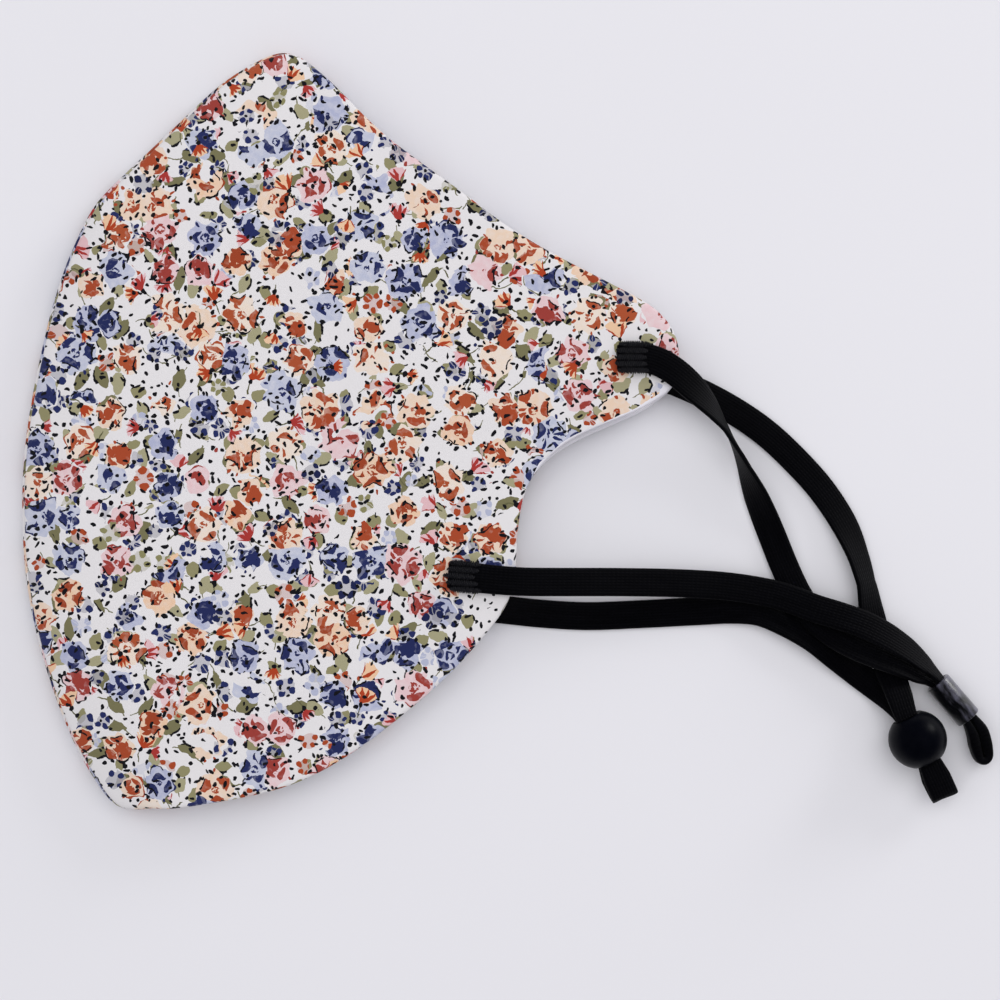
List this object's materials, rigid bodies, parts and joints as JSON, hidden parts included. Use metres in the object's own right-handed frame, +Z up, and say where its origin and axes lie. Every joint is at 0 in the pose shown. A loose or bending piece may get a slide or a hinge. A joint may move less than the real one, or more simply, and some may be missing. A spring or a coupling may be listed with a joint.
{
  "type": "cloth face mask",
  "caption": "Reusable fitted cloth face mask, folded in half along its centre seam, with flat elastic ear loops and sliding adjusters.",
  "frame": {"origin": "on the surface that the folded mask lies on, under the middle of the cloth's box", "axes": "+X from the centre seam towards the ears, +Y from the chin towards the nose, +Z up out of the surface, from the right half to the left half"},
  "size_m": [0.1928, 0.1511, 0.0115],
  "materials": {
    "printed_cloth": "matt plain-weave cotton, white with a small all-over floral print outside and plain white inside",
    "elastic": "black knitted flat elastic, fine ribs along it",
    "sleeve_rubber": "dark grey silicone sleeve, smooth and glossy",
    "bead_plastic": "polished black plastic bead"
  },
  "bodies": {
    "root": {"left_panel": "printed_cloth", "right_panel": "printed_cloth", "left_ear_loop": "elastic", "right_ear_loop": "elastic", "left_adjuster": "sleeve_rubber", "right_adjuster": "bead_plastic"}
  },
  "joints": []
}
